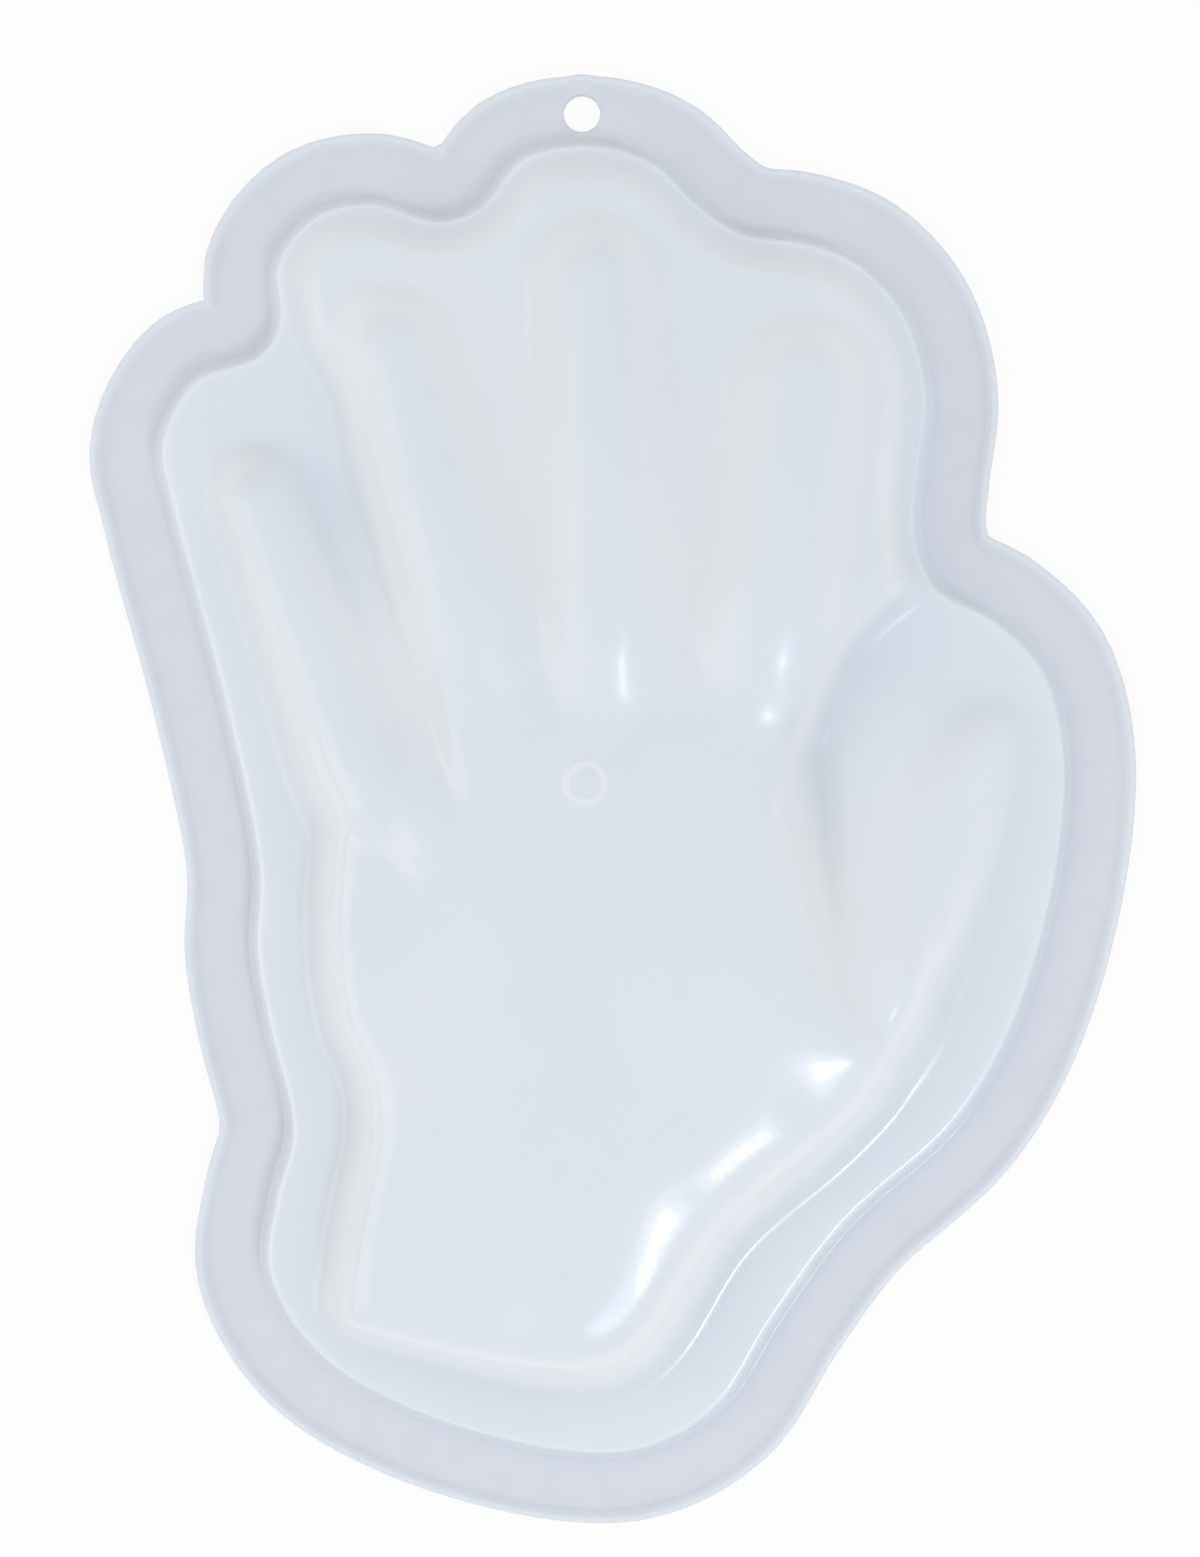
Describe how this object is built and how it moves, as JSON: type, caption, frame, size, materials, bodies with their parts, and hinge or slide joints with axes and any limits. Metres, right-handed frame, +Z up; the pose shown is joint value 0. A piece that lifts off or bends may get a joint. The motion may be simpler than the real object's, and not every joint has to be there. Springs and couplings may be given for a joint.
{
  "type": "jelly mould",
  "caption": "Hand-shaped jelly mould: a thin milky plastic shell with a flat lipped flange, hang hole, low scalloped tray and hollow fingers, thumb and palm, filled from its open side.",
  "frame": {"origin": "middle of the flange's outline, on the plane of its underside", "axes": "+Z up out of the closed side, +Y towards the fingertips and the hang hole, +X towards the thumb"},
  "size_m": [0.1762, 0.2438, 0.0269],
  "materials": {
    "milky_plastic": "milky translucent polypropylene, glossy on the hand and satin on the flange"
  },
  "bodies": {
    "root": {"hand_mould": "milky_plastic"}
  },
  "joints": []
}
